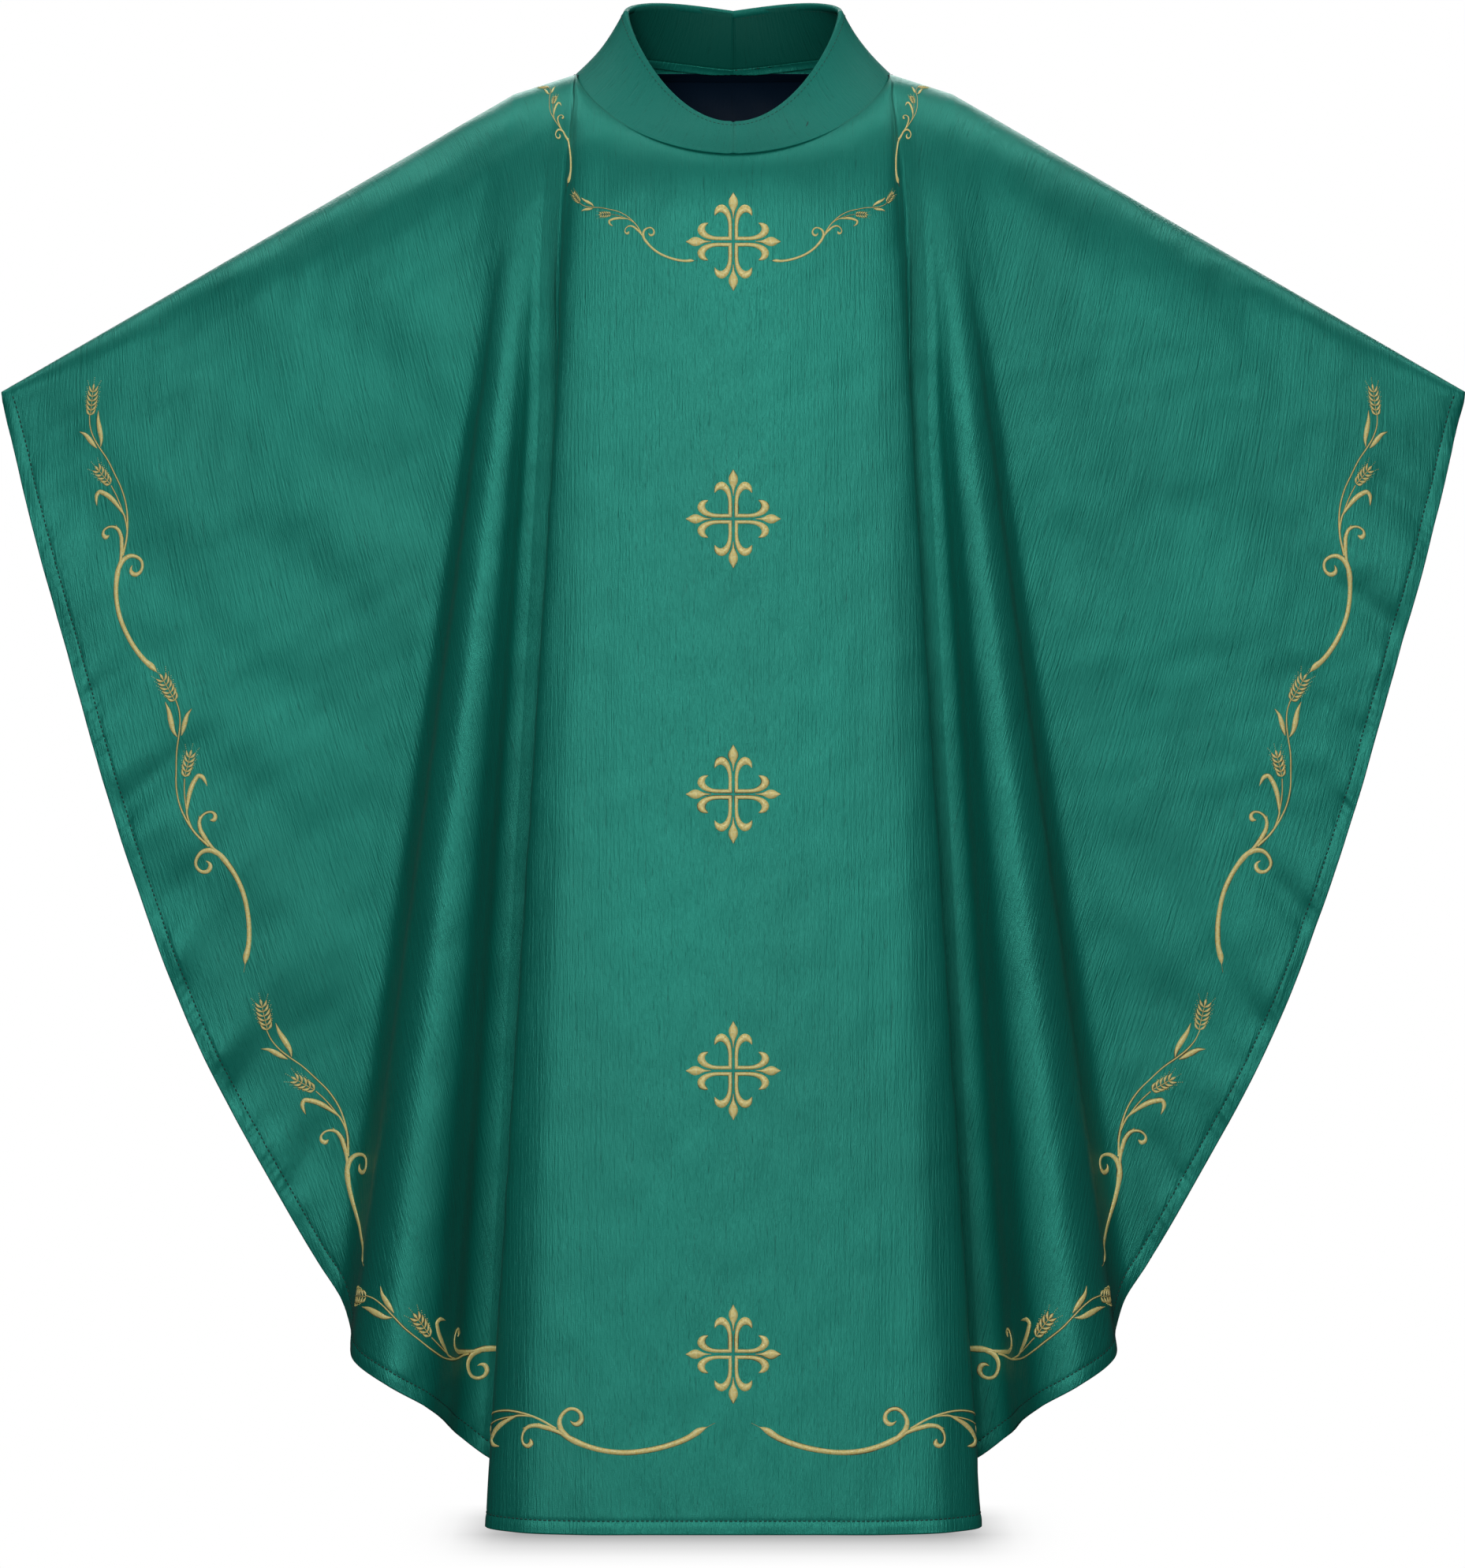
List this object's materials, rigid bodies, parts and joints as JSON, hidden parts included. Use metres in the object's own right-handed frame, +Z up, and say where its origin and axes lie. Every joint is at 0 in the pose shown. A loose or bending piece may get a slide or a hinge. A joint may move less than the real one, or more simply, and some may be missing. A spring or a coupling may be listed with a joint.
{
  "type": "chasuble",
  "caption": "Wide draped vestment with a stand-up collar, pointed wrists, side folds and raised gold embroidery; it is worn over the head and hangs from the shoulders.",
  "frame": {"origin": "middle of the neck seam, level with the shoulder line", "axes": "+Z up, -Y towards the garment's front, +X across it towards the wearer's left arm"},
  "size_m": [1.318, 0.3168, 1.3755],
  "materials": {
    "emerald_cloth": "fine slubbed weave with a soft sheen",
    "lining_cloth": "smooth matt lining",
    "turned_hem": "face cloth turned in and stitched",
    "collar_canvas": "stiff canvas",
    "gold_thread": "raised satin stitch in metallic thread"
  },
  "bodies": {
    "root": {"front_panel": "emerald_cloth", "back_panel": "emerald_cloth", "front_hem": "turned_hem", "back_hem": "turned_hem", "neck_tape": "lining_cloth", "collar_interfacing": "collar_canvas", "shoulder_seam_left": "turned_hem", "shoulder_seam_right": "turned_hem", "collar_outer_left": "emerald_cloth", "collar_outer_right": "emerald_cloth", "collar_inner_left": "lining_cloth", "collar_inner_right": "lining_cloth", "front_cross_1": "gold_thread", "front_cross_2": "gold_thread", "front_cross_3": "gold_thread", "front_cross_4": "gold_thread", "front_cross_5": "gold_thread", "back_cross_1": "gold_thread", "back_cross_2": "gold_thread", "back_cross_3": "gold_thread", "back_cross_4": "gold_thread", "back_cross_5": "gold_thread", "front_shoulder_spray_left": "gold_thread", "front_neck_spray_left": "gold_thread", "front_wrist_spray_left": "gold_thread", "front_arm_spray_left": "gold_thread", "front_side_spray_left": "gold_thread", "front_hem_spray_left": "gold_thread", "front_centre_spray_left": "gold_thread", "front_shoulder_spray_right": "gold_thread", "front_neck_spray_right": "gold_thread", "front_wrist_spray_right": "gold_thread", "front_arm_spray_right": "gold_thread", "front_side_spray_right": "gold_thread", "front_hem_spray_right": "gold_thread", "front_centre_spray_right": "gold_thread", "back_shoulder_spray_left": "gold_thread", "back_neck_spray_left": "gold_thread", "back_wrist_spray_left": "gold_thread", "back_arm_spray_left": "gold_thread", "back_side_spray_left": "gold_thread", "back_hem_spray_left": "gold_thread", "back_centre_spray_left": "gold_thread", "back_shoulder_spray_right": "gold_thread", "back_neck_spray_right": "gold_thread", "back_wrist_spray_right": "gold_thread", "back_arm_spray_right": "gold_thread", "back_side_spray_right": "gold_thread", "back_hem_spray_right": "gold_thread", "back_centre_spray_right": "gold_thread"}
  },
  "joints": []
}
